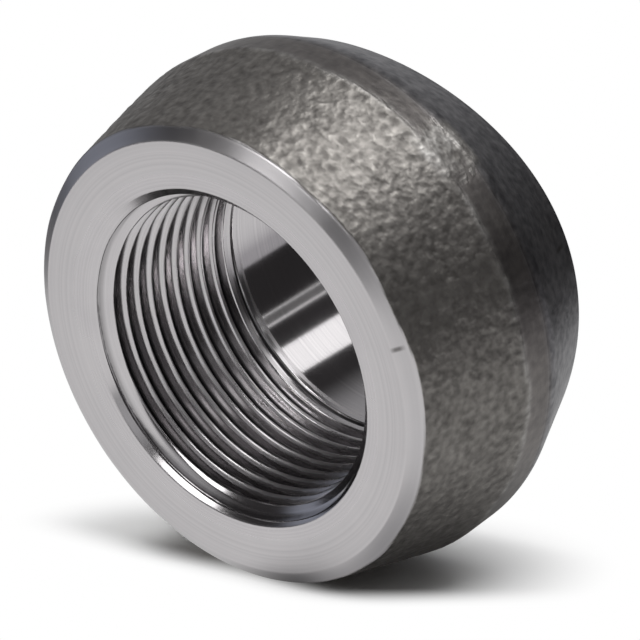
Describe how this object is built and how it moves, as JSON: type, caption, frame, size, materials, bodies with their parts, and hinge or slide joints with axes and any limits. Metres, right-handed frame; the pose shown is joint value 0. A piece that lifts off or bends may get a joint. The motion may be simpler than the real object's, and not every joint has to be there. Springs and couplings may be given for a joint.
{
  "type": "threaded branch outlet fitting",
  "caption": "Forged steel branch outlet: a short conical body with a pipe thread in its flat end and a base cut to a saddle and bevelled, welded over a hole in a run pipe.",
  "frame": {"origin": "centre of the base on the plane that the two skirts of the saddle stand on", "axes": "+Z along the branch axis, out of the outlet face; the run pipe lies along X"},
  "size_m": [0.065, 0.065, 0.0366],
  "materials": {
    "forged_steel": "shot-blasted forging with turned face, chamfer, band, bevel and threaded bore"
  },
  "bodies": {
    "root": {"outlet_body": "forged_steel"}
  },
  "joints": []
}
